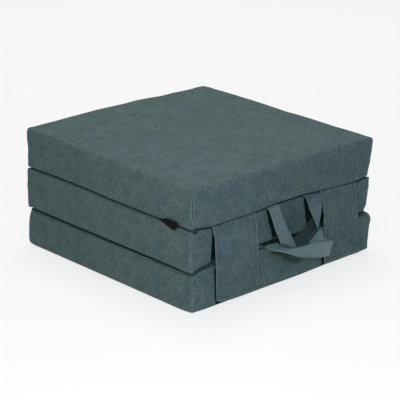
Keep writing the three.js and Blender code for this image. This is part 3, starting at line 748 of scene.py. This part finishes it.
# Each pad. "edges" are its lower and upper rounding. "drawn_in" says how far each face is drawn in at its
# foot, half way up and at its head. A row of "soft_corners" is a corner's side across and deep, the shares
# of the height where its pull starts and is full, and the pull. A seam's "ridge" is its distance from the
# joint, half width, height and painted highlight, and its "groove" the distance, depth and painted shade.
# "top_shade" darkens the cloth of its head, which lies in the joint's shade.
EVERYWHERE = [(-HALF_DEPTH, 1), (HALF_DEPTH, 1)]
FOOT_RISE = 2.6
FOOT_RISE_FROM = (30, 150)
ON_FLOOR = 0.05
COVER_WAVES = [(0.5, 170), (0.3, 55)]
TOP_SHADE_FACING = (0.86, 1)
PADS = [
    {
        "name": "top_pad", "node": "pad_top", "pad_above": False, "seed": 11, "edges": (2.2, 14),
        "drawn_in": {
            "left": (-2, -2, 2), "right": (5, -1, -7), "back": (2, 5, -3),
            "front": (1, -2, 1), "front_left": (2, 0, 1), "front_right": (3, -2, -5),
        },
        "soft_corners": [(-1, -1, 0.55, 1, 2), (1, 1, 0.6, 1, 6)],
        "below": lambda x, y: upper_joint(x, y) + JOINT_GAP / 2 + hinge_room("back", x, HALF_DEPTH - y),
        "above": top_face,
        "near_seam": [(212, -2), (228, 0), (245, 2.5), (275, 1.5), (295, 2.5)],
        "edge_seams": [
            {"edge": "lower", "face": "handle", "ridge": (3, 1.6, 0.9, 0.35), "groove": (6.4, 0.3, 0.15),
             "wander": 0.4, "along": [(-300, 1.4), (-250, 1.2), (-200, 0.6), (300, 0.5)]},
            {"edge": "upper", "face": "handle", "ridge": (0, 1.5, 0.6, 0.25), "groove": (2.6, 0.7, 0.35),
             "wander": 0.5, "along": [(170, 0), (215, 1), (300, 1)], "drift": [(200, 12), (295, 29)]},
        ],
        "top_shade": 0,
    },
    {
        "name": "middle_pad", "node": "pad_middle", "pad_above": True, "seed": 22, "edges": (3, 2.2),
        "drawn_in": {
            "left": (-2, -4, -3), "right": (8, 3, 0), "back": (1, 0, 1),
            "front": (6, 5, 3), "front_left": (2, 1, 1), "front_right": (3, 0, -2),
        },
        "soft_corners": [(1, -1, 0.2, 0, 3)],
        "below": lambda x, y: lower_joint(x, y) + JOINT_GAP / 2 + hinge_room("front", x, y + HALF_DEPTH),
        "above": lambda x, y: upper_joint(x, y) - JOINT_GAP / 2 - hinge_room("back", x, HALF_DEPTH - y),
        "near_seam": [(108, 0), (125, 5), (150, 11), (195, 12)],
        "edge_seams": [
            {"edge": "lower", "face": "handle", "ridge": (2.6, 1.8, 1, 0.3), "groove": (6, 1.2, 0.5),
             "wander": 0.6, "along": [(-300, 1), (-236, 1), (-226, 0), (300, 0)]},
            {"edge": "upper", "face": "handle", "ridge": (6, 2, 0, 0), "groove": (1.2, 0.9, 1),
             "wander": 0.2, "along": [(-300, 1), (-250, 0.8), (-232, 0)]},
            {"edge": "upper", "face": "left", "ridge": (6, 2, 0, 0), "groove": (1.4, 0.8, 1),
             "wander": 0.3, "along": [(-60, 0), (60, 0.5), (200, 1.2)]},
        ],
        "top_shade": 0,
    },
    {
        "name": "bottom_pad", "node": "pad_bottom", "pad_above": True, "seed": 33, "edges": (2.5, 3.5),
        "drawn_in": {
            "left": (-8, -4, 0), "right": (-5, -1, -7), "back": (0, 1, 1),
            "front": (-5, -1, 0), "front_left": (-6, -4, -1), "front_right": (3, -3, -7),
        },
        "soft_corners": [(1, -1, 0.8, 1, 5), (-1, 1, 0.7, 1, 3), (-1, 1, 0.25, 0, 4), (-1, -1, 0.3, 0, 3.5)],
        "below": lambda x, y: FOOT_RISE * ease(x, *FOOT_RISE_FROM) * near_handle_face(y),
        "above": lambda x, y: lower_joint(x, y) - JOINT_GAP / 2,
        "near_seam": [(0, 8), (25, 10), (52, 14), (72, 12), (86, 5), (95, -2)],
        "edge_seams": [
            {"edge": "upper", "face": "left", "ridge": (3.4, 1.4, 0.9, 0.2), "groove": (6.2, 0.9, 0.6),
             "wander": 1.6, "along": EVERYWHERE},
        ],
        "top_shade": 1.2,
    },
]
for facts in PADS:
    pad = pad_cover(facts)
    swell(pad, held_face(read_normals(pad.data), facts["pad_above"]))
    smooth_finer(pad, 2)
    points = read_points(pad.data)
    normals = read_normals(pad.data)
    free = 1 - held_face(normals, facts["pad_above"])
    tone = np.zeros(len(points))
    points[:, 1] += hollow_out(points, normals, tone, HOLLOWS.get(facts["name"], []))
    uneven = uneven_cloth(points, COVER_WAVES, facts["seed"])
    points = points + normals * (uneven * free)[:, None]
    points = press_creases(points, normals, tone, CREASES.get(facts["name"], []), facts["seed"] + 30)
    points = edge_seams(points, normals, tone, facts)
    points = sew_corners(points, normals, tone, facts["near_seam"], facts["seed"] + 2)
    tone -= facts["top_shade"] * ease(normals[:, 2], *TOP_SHADE_FACING)
    points[:, 2] = np.maximum(points[:, 2], ON_FLOOR)
    write_points(pad.data, points)
    write_tone(pad.data, tone)
    spread_cover(pad.data, points)
    pad.data.materials.clear()
    pad.data.materials.append(cover_cloth)
    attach(pad, "root")
    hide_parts(facts["node"])

# The hinges. Two strips of cover cloth join the pads, sewn into their seams: one lies in the lower joint
# behind the handle face, its edge turned down over the bottom pad, and one lies in the upper joint at the
# back. The front strip's section gives shares of its reach, how far it stands out and how far it rises.
HINGE_CLOTH = 1.5
HINGE_LENGTH = 536
HINGE_REACH = 26
HINGE_INSET = 4
HINGE_TUCK = [(-268, 9), (-225, 9), (-150, 0), (190, 0), (225, 6), (268, 6)]
HINGE_RISE = [
    (-268, 0), (-225, 0), (-170, 1), (-78, 1), (-48, 0.2), (40, 0.3), (170, 0.8), (225, 0.2), (268, 0),
]
HINGE_SHADE = [(-76, 0.1), (-58, -1.6), (60, -1.2), (110, -0.5)]
FRONT_HINGE_SECTION = [
    (0, -26, 1), (0.5, -13, 1.2), (0.68, -8, 5), (0.8, -5.4, 4.8), (0.9, -3.4, 2.6), (1, -1.8, 0.9),
]


def sheet_outward(middle):
    """The direction across times along at each point of a sheet."""
    outward = np.cross(np.gradient(middle, axis=1), np.gradient(middle, axis=0))
    return outward / np.linalg.norm(outward, axis=2)[:, :, None]


def sheet_piece(name, middle, thickness, flat_u, flat_v, material, tone=None, first_side_tone=0):
    """A sheet of cloth as a thin closed mesh. middle holds rows of points down the middle of the cloth, in
    millimetres; thickness has a value for each point; flat_u and flat_v are its place on the flat cloth;
    first_side_tone darkens or lightens the side that faces across times along."""
    rows, columns = middle.shape[:2]
    half = (thickness / 2)[:, :, None] * sheet_outward(middle)
    points = np.concatenate([(middle + half).reshape(-1, 3), (middle - half).reshape(-1, 3)])
    number = np.arange(rows * columns).reshape(rows, columns)
    a, b, c, d = number[:-1, :-1], number[:-1, 1:], number[1:, 1:], number[1:, :-1]
    face = np.stack([a, b, c, d], axis=-1).reshape(-1, 4)
    under = rows * columns
    reverse = face[:, ::-1] + under
    rim = np.concatenate([number[0, :-1], number[:-1, -1], number[-1, :0:-1], number[:0:-1, 0]])
    after = np.roll(rim, -1)
    edge = np.stack([rim, rim + under, after + under, after], axis=-1)
    faces = np.concatenate([face, reverse, edge])
    piece = place_piece(name, points, faces.tolist())
    flat_places = np.column_stack([np.tile(flat_u.ravel(), 2), np.tile(flat_v.ravel(), 2)]) * MM
    flat = piece.data.uv_layers.new(name="cloth")
    flat.data.foreach_set("uv", flat_places[faces.ravel()].ravel())
    tone = np.zeros(rows * columns) if tone is None else tone.ravel()
    write_tone(piece.data, np.concatenate([tone + first_side_tone, tone]))
    piece.data.materials.append(material)
    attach(piece, "root")
    return piece


def steps(length, spacing):
    return np.linspace(0, 1, max(2, round(length / spacing) + 1))


u, v = np.meshgrid(steps(HINGE_LENGTH, 4), steps(HINGE_REACH + 6, 1.2))
x = (u - 0.5) * HINGE_LENGTH
out = read_table(FRONT_HINGE_SECTION, v, 1) - v * read_table(HINGE_TUCK, x)
rise = read_table(FRONT_HINGE_SECTION, v, 2) * read_table(HINGE_RISE, x)
level = lower_joint(x, -HALF_DEPTH - np.minimum(0, out)) + rise
hinge_middle = np.stack([x, -HALF_DEPTH - out, level], axis=-1)
front_hinge = sheet_piece(
    "front_hinge", hinge_middle, np.full(x.shape, HINGE_CLOTH), x, v * HINGE_REACH, cover_cloth,
    read_table(HINGE_SHADE, x)
)
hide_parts("hinge_front")

u, v = np.meshgrid(steps(HINGE_LENGTH, 6), steps(HINGE_REACH, 2))
x = (u - 0.5) * HINGE_LENGTH
y = HALF_DEPTH - HINGE_INSET - HINGE_REACH * v
hinge_middle = np.stack([x, y, upper_joint(x, y)], axis=-1)
back_hinge = sheet_piece(
    "back_hinge", hinge_middle, np.full(x.shape, HINGE_CLOTH), x, v * HINGE_REACH, cover_cloth
)
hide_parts("hinge_back")

# The closing bands. Two broad flaps of the cover cloth, hemmed on three sides and sewn into the seam under
# the top pad, hang down the handle face; a patch sewn on the reverse shows as a line of stitches. Their
# section gives shares of their length, how far they stand out, and their share of the height.
BAND_CLOTH = 1.9
BAND_LENGTH = 208
BAND_SECTION = [
    (0, -4.6, 1), (0.012, -2.2, 1.003), (0.024, -0.8, 1.013), (0.05, 0.3, 0.992), (0.09, 2, 0.95),
    (0.16, 4.2, 0.88), (0.5, 7.5, 0.5), (0.8, 7.6, 0.2), (1, 8, 0),
]
BAND_WAVES = [(0.8, 120), (0.3, 36)]
BAND_HANGS_FREE = (0.05, 0.3)
CORNER_TURN = 8
BAND_HEM = 10
HEM_EXTRA = 0.9
# A stitched groove thins the cloth and is painted with shade. The band's edges and its hem are painted with
# highlights.
GROOVE = {"half_width": 1.3, "depth": 0.75, "dark": 0.3}
BAND_EDGE_HIGHLIGHT = {"reach": 1.8, "pale": 0.6}
HEM_HIGHLIGHT = {"from_edge": 6, "half_width": 1.3, "pale": 0.4}
BANDS = [
    {"name": "left_band", "node": "band_left", "left": -237, "right": -97, "skew": 6, "lift": 2,
     "foot": 6, "corner_rise": 10, "seed": 41,
     "patch": [(0, 44), (0.25, 41), (0.45, 48), (0.7, 56), (1, 63)]},
    {"name": "right_band", "node": "band_right", "left": 120.5, "right": 245.5, "skew": 11, "lift": 3.5,
     "foot": 10, "corner_rise": 0, "seed": 52,
     "patch": [(0, 60), (0.5, 58), (1, 55)]},
]
EDGE_ROWS = np.array([0.35, 0.9])
EDGE_TURN = {"reach": 0.6, "least": 0.3}
THREAD_COLOURS = {
    "dark": (0.060, 0.090, 0.090), "plain": (0.085, 0.125, 0.124), "light": (0.120, 0.170, 0.168),
}
THREAD = 0.28
STITCH_PITCH = 3.2
STITCH_LENGTH = 2.3
STITCH_RINGS = [(-0.5, 0.35, -0.2), (-0.3, 1, 0.12), (0.3, 1, 0.12), (0.5, 0.35, -0.2)]
STITCH_SIDES = 6
LINE_POINTS = 60


def sheet_steps(length, spacing, both_edges=True):
    """Even steps from 0 to 1 over a length, with two close ones by its far edge or by both edges."""
    close = EDGE_ROWS / length
    return np.unique(np.concatenate([steps(length, spacing), close if both_edges else [], 1 - close]))


def groove_at(distance):
    return np.exp(-((distance / GROOVE["half_width"]) ** 2))


def rounded_edge(distance, cloth):
    """How much of its thickness a cloth has at a distance from its edge."""
    inward = np.clip(distance / (cloth * EDGE_TURN["reach"]), 0, 1)
    return EDGE_TURN["least"] + (1 - EDGE_TURN["least"]) * np.sqrt(1 - (1 - inward) ** 2)


def on_sheet(values, row, column):
    """Reads a sheet's grid of values between its points, at rows and columns with fractions."""
    top = np.clip(row.astype(int), 0, values.shape[0] - 2)
    left = np.clip(column.astype(int), 0, values.shape[1] - 2)
    down, along = (row - top)[:, None], (column - left)[:, None]
    upper = values[top, left] * (1 - along) + values[top, left + 1] * along
    lower = values[top + 1, left] * (1 - along) + values[top + 1, left + 1] * along
    return upper * (1 - down) + lower * down


def stitch_line(surface, outward, rows, columns):
    """Places and outward directions down one line on a sheet."""
    return on_sheet(surface, rows, columns), on_sheet(outward, rows, columns)


def stitches(name, lines, material):
    """Rows of single stitches in thick thread. Each line has its places on the cloth and the outward
    directions there, in millimetres; a stitch rises a little and sinks into the cloth at both ends."""
    points, faces = [], []
    turn = np.arange(STITCH_SIDES) * 2 * math.pi / STITCH_SIDES
    for places, outward in lines:
        run = np.concatenate([[0], np.cumsum(np.linalg.norm(np.diff(places, axis=0), axis=1))])
        for start in np.arange(STITCH_PITCH, run[-1] - STITCH_PITCH, STITCH_PITCH):
            centre_at = np.array([np.interp(start, run, column) for column in places.T])
            ahead = np.array([np.interp(start + 0.5, run, column) for column in places.T])
            up = np.array([np.interp(start, run, column) for column in outward.T])
            up /= np.linalg.norm(up)
            way = (ahead - centre_at) / np.linalg.norm(ahead - centre_at)
            side = np.cross(up, way)
            first = len(points)
            for share, thick, lift in STITCH_RINGS:
                middle_at = centre_at + way * share * STITCH_LENGTH + up * lift
                for angle in turn:
                    round_thread = math.cos(angle) * side + math.sin(angle) * up
                    points.append(middle_at + THREAD * thick * round_thread)
            for ring in range(len(STITCH_RINGS) - 1):
                for corner in range(STITCH_SIDES):
                    a = first + ring * STITCH_SIDES + corner
                    b = first + ring * STITCH_SIDES + (corner + 1) % STITCH_SIDES
                    faces.append((a, a + STITCH_SIDES, b + STITCH_SIDES, b))
            last = first + (len(STITCH_RINGS) - 1) * STITCH_SIDES
            faces.append(tuple(range(first, first + STITCH_SIDES)))
            faces.append(tuple(range(last + STITCH_SIDES - 1, last - 1, -1)))
    points = np.array(points)
    piece = place_piece(name, points, faces)
    flat = piece.data.uv_layers.new(name="cloth")
    corner_points = np.array([point for face in faces for point in face])
    flat.data.foreach_set("uv", (points[corner_points][:, [0, 2]] * MM).ravel())
    write_tone(piece.data, np.zeros(len(points)))
    piece.data.materials.append(material)
    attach(piece, "root")
    return piece


band_cloth = woven_cloth("band_cloth", COVER_COLOURS, 0.7, 0.86, 0.06)
thread = woven_cloth("sewing_thread", THREAD_COLOURS, 0.5, 0.7, 0.03)
for facts in BANDS:
    width = facts["right"] - facts["left"]
    across_steps = sheet_steps(width, 1.6)
    along_steps = sheet_steps(BAND_LENGTH, 1.6, both_edges=False)
    u, share = np.meshgrid(across_steps, along_steps)
    x = facts["left"] + width * u + facts["skew"] * share
    seam = upper_joint(x, np.full(x.shape, -HALF_DEPTH))
    level = read_table(BAND_SECTION, share, 2)
    edge_lift = facts["lift"] * (1 - u) ** 2 * np.sin(math.pi * share)
    out = read_table(BAND_SECTION, share, 1) + edge_lift
    hem_height = facts["foot"] + facts["corner_rise"] * (1 - u) ** CORNER_TURN
    z = hem_height + (seam - hem_height) * level
    place = np.stack([x, np.zeros(x.shape), z], axis=-1).reshape(-1, 3)
    waves = uneven_cloth(place, BAND_WAVES, facts["seed"]).reshape(x.shape)
    out = out + ease(share, *BAND_HANGS_FREE) * waves
    from_left, from_right = width * u, width * (1 - u)
    from_foot = z - hem_height
    from_side = np.minimum(from_left, from_right)
    from_edge = np.minimum(from_side, from_foot)
    patch = from_foot - read_table(facts["patch"], u)
    hem = 1 - ease(from_edge, BAND_HEM - 1.2, BAND_HEM + 0.6)
    stitched = np.maximum(groove_at(from_side - BAND_HEM), groove_at(from_foot - BAND_HEM))
    stitched = np.maximum(stitched * (from_edge > BAND_HEM - 3), groove_at(patch) * (from_side > BAND_HEM))
    thickness = BAND_CLOTH + HEM_EXTRA * hem - GROOVE["depth"] * stitched
    thickness = thickness * rounded_edge(from_edge, BAND_CLOTH)
    # Painted highlights along the band's edges and on its hem, and painted shade in the stitched grooves.
    on_hem = (from_edge - HEM_HIGHLIGHT["from_edge"]) / HEM_HIGHLIGHT["half_width"]
    tone = BAND_EDGE_HIGHLIGHT["pale"] * np.exp(-((from_edge / BAND_EDGE_HIGHLIGHT["reach"]) ** 2)) - GROOVE["dark"] * stitched
    tone = tone + HEM_HIGHLIGHT["pale"] * np.exp(-(on_hem**2))
    middle = np.stack([x, -HALF_DEPTH - out, z], axis=-1)
    band = sheet_piece(facts["name"], middle, thickness, x, z, band_cloth, tone)
    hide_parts(facts["node"])

    outward = -sheet_outward(middle)
    surface = middle + outward * (thickness / 2)[:, :, None]
    row_numbers, column_numbers = np.arange(len(along_steps)), np.arange(len(across_steps))
    lines = []
    hanging_rows = row_numbers[(along_steps > 0.03) & (from_foot[:, 0] > BAND_HEM)].astype(float)
    for hem_share in (BAND_HEM / width, 1 - BAND_HEM / width):
        column = np.full(len(hanging_rows), np.interp(hem_share, across_steps, column_numbers))
        lines.append(stitch_line(surface, outward, hanging_rows, column))
    inner = np.linspace(BAND_HEM / width, 1 - BAND_HEM / width, LINE_POINTS)
    columns = np.interp(inner, across_steps, column_numbers)
    for height in (np.full(LINE_POINTS, BAND_HEM), read_table(facts["patch"], inner)):
        rows = np.array([
            np.interp(-at, -from_foot[:, int(column)], row_numbers) for at, column in zip(height, columns)
        ])
        lines.append(stitch_line(surface, outward, rows, columns))
    sewing = stitches(facts["name"] + "_stitching", lines, thread)

# The handles. Two hemmed ribbons, both ends of each sewn into a joint: the upper one hangs and folds over
# on the lower one, which stands out flat and turns back behind itself. A row of a handle is one place down
# the ribbon: for one edge and then the other, the place across, the distance out and the height.
RIBBON_CLOTH = 1.9
# Painted light: the ribbon is the cover's own cloth, given lighter colours than the cover to stand for the
# stronger light on the handles.
RIBBON_LIT_COLOURS = {
    "dark": (0.044, 0.073, 0.074), "plain": (0.070, 0.105, 0.104), "light": (0.121, 0.169, 0.163),
}
RIBBON_HEM = 3.4
RIBBON_HEM_EXTRA = 0.5
# Painted highlight along the ribbon's edges.
RIBBON_EDGE_HIGHLIGHT = {"reach": 1.3, "pale": 0.5}
RIBBON_SEWN_IN = 8
UPPER_HANDLE = [
    (-59, -4.4, 202.2, -22, -4.4, 204), (-59, 2.5, 200.2, -23, 2.5, 201.3), (-57, 10, 185.7, -18, 8, 180.7),
    (-51, 20, 150.7, -6, 16, 142.7), (-45, 30, 122.7, 13, 24, 99.7), (-37, 25, 114.7, 26, 18, 84.7),
    (-26, 14, 112.5, 33, 11, 84.5), (8, 5, 107.5, 44, 16, 86), (43, 3, 110.2, 56, 22, 98.8),
    (74.5, 2.5, 130.8, 68.7, 25, 110.9), (107, 1, 152, 80.9, 26, 119.8), (124.7, 0, 163.4, 86, 26, 123),
    (125.8, 1.8, 166.1, 87.4, 28, 125.7), (122.8, 3.8, 168.8, 82.4, 30.5, 128.1),
    (121.4, 4.2, 178.2, 77.1, 24, 144.7), (119.2, 4.2, 190, 70.6, 14, 172), (118.3, 3, 197.5, 65.1, 6, 197.5),
    (117, -4.4, 199.6, 65, -4.4, 204),
]
LOWER_HANDLE = [
    (-66, -3.4, 106.2, -23, -3.4, 105.6), (-66, 4, 105, -23, 4, 103), (-65, 14, 103.7, -23, 14, 100.2),
    (-59, 28, 102.7, -12, 25, 95.7), (-43, 41, 98.7, 0, 34, 94.7), (-22, 48, 87.7, 13, 41, 96.7),
    (6, 47, 74.7, 29, 45, 97.7), (46, 40, 60.7, 54, 42, 95.7), (94, 29, 44.7, 99, 32, 85.7),
    (131, 24, 37.7, 143, 26, 75), (135, 18, 35.5, 147, 19, 72.5), (111.3, 15, 45.4, 137.2, 15.5, 78),
    (79.3, 13, 66.9, 123.7, 12, 86.2), (74.7, 11, 84.6, 126.9, 8.5, 90.8), (90.1, 7.5, 93.2, 137.3, 6, 95.4),
    (103.6, 4.5, 99.1, 148.4, 4, 98.9), (112.3, 2, 104.5, 150, 2, 103.5), (113, -3.4, 106, 151, -3.4, 106),
]


def smooth_line(corners, shares):
    """A centripetal Catmull-Rom line through the corners, read at shares of its corner count."""
    corners = np.array(corners, float)
    first, last = 2 * corners[0] - corners[1], 2 * corners[-1] - corners[-2]
    line = np.vstack([first, corners, last])
    place = shares * (len(corners) - 1)
    at = np.minimum(place.astype(int), len(corners) - 2)
    weight = (place - at)[:, None]
    before, start, end, after = line[at], line[at + 1], line[at + 2], line[at + 3]
    first_gap, gap, last_gap = (
        np.sqrt(np.linalg.norm(far - near, axis=1))[:, None]
        for near, far in ((before, start), (start, end), (end, after))
    )
    leaving = (start - before) / first_gap - (end - before) / (first_gap + gap) + (end - start) / gap
    coming = (end - start) / gap - (after - start) / (gap + last_gap) + (after - end) / last_gap
    leaving, coming = leaving * gap, coming * gap
    square = -3 * start + 3 * end - 2 * leaving - coming
    cube = 2 * start - 2 * end + leaving + coming
    return start + leaving * weight + square * weight**2 + cube * weight**3


ribbon_cloth = woven_cloth("ribbon_cloth", RIBBON_LIT_COLOURS, 0.7, 0.82, 0.15)
# Painted light and shade on the handles: each one's "tone", by share of its length, paints the upper handle
# lighter down its first leg and darker down its last, and the lower handle lighter all along, most where it
# turns back. The reverse tone paints shade on the ribbon's other side.
HANDLES = [
    {"name": "upper_handle", "node": "handle_upper", "rows": UPPER_HANDLE, "length": 330,
     "sewn_to": "top_pad", "reverse_side_shade": -0.72,
     "tone": [(0, 0.2), (0.4, 0.1), (0.7, -0.05), (1, -0.2)]},
    {"name": "lower_handle", "node": "handle_lower", "rows": LOWER_HANDLE, "length": 420,
     "sewn_to": "middle_pad", "reverse_side_shade": -0.1,
     "tone": [(0, 0.7), (0.25, 0.6), (0.6, 0.85), (0.75, 1.1), (1, 1.1)]},
]
for facts in HANDLES:
    shares = steps(facts["length"], 1.1)
    first_edge, other_edge = (
        smooth_line([(x, -HALF_DEPTH - out, z) for x, out, z in places], shares)
        for places in ([row[:3] for row in facts["rows"]], [row[3:] for row in facts["rows"]])
    )
    middle_width = float(np.median(np.linalg.norm(other_edge - first_edge, axis=1)))
    lengths = np.linalg.norm(np.diff((first_edge + other_edge) / 2, axis=0), axis=1)
    run = np.concatenate([[0], np.cumsum(lengths)])
    u_steps = sheet_steps(middle_width, 1.2)
    middle = first_edge[:, None, :] + (other_edge - first_edge)[:, None, :] * u_steps[None, :, None]
    u, along = np.meshgrid(u_steps, run)
    from_edge = np.minimum(u, 1 - u) * middle_width
    hem = 1 - ease(from_edge, RIBBON_HEM - 0.8, RIBBON_HEM + 0.8)
    stitched = groove_at(from_edge - RIBBON_HEM)
    thickness = RIBBON_CLOTH + RIBBON_HEM_EXTRA * (hem - stitched)
    thickness = thickness * rounded_edge(from_edge, RIBBON_CLOTH)
    # Painted highlight along the ribbon's edges, painted shade in its stitched grooves, and painted light and
    # shade along its length.
    tone = RIBBON_EDGE_HIGHLIGHT["pale"] * np.exp(-((from_edge / RIBBON_EDGE_HIGHLIGHT["reach"]) ** 2))
    tone = tone - GROOVE["dark"] * stitched + read_table(facts["tone"], along / run[-1])
    ribbon = sheet_piece(
        facts["name"], middle, thickness, u * middle_width, along, ribbon_cloth, tone, facts["reverse_side_shade"]
    )
    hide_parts(facts["node"])

    outward = sheet_outward(middle)
    lines = []
    free = (run > RIBBON_SEWN_IN) & (run < run[-1] - RIBBON_SEWN_IN)
    free_rows = np.arange(len(shares), dtype=float)[free]
    for hem_share in (RIBBON_HEM / middle_width, 1 - RIBBON_HEM / middle_width):
        column = np.full(len(free_rows), np.interp(hem_share, u_steps, np.arange(len(u_steps))))
        for facing in (1, -1):
            surface = middle + facing * outward * (thickness / 2)[:, :, None]
            lines.append(stitch_line(surface, facing * outward, free_rows, column))
    sewing = stitches(facts["name"] + "_stitching", lines, thread)

# The label. A small smooth black woven tab, one end pinched in the joint under the top pad on the plain
# left side, where it is sewn into the seam. A row is one place along it: how far back and how high its
# lower edge is, the same for its upper edge, and its distance from the pads.
LABEL_CLOTH = 1.2
LABEL_CURVE = 72
LABEL_WIDTH = 18
LABEL = [
    (-200, 205.4, -200, 206.8, -0.6), (-208, 205, -210, 209, 3.8), (-222, 202.6, -221, 214, 6),
    (-236, 199.3, -238, 216.8, 7), (-250, 196, -257, 217, 8), (-262, 196.6, -274, 216.6, 8.6),
]
LABEL_COLOURS = {
    "dark": (0.002, 0.002, 0.0025), "plain": (0.004, 0.004, 0.0045), "light": (0.010, 0.010, 0.011),
}
label_cloth = woven_cloth("label_cloth", LABEL_COLOURS, 0.5, 0.6, 0.0, yarn=0.0005)
label_cloth.node_tree.nodes["Principled BSDF"].inputs["Specular IOR Level"].default_value = 0.03
shares = steps(LABEL_CURVE, 0.9)
low_edge = smooth_line([(-HALF_WIDTH - row[4], row[0], row[1]) for row in LABEL], shares)
high_edge = smooth_line([(-HALF_WIDTH - row[4], row[2], row[3]) for row in LABEL], shares)
down = steps(LABEL_WIDTH, 0.9)
middle = high_edge[None, :, :] + (low_edge - high_edge)[None, :, :] * down[:, None, None]
u, v = np.meshgrid(shares, down)
label = sheet_piece(
    "side_label", middle, np.full(u.shape, LABEL_CLOTH), u * LABEL_CURVE, v * LABEL_WIDTH, label_cloth
)
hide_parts("label")
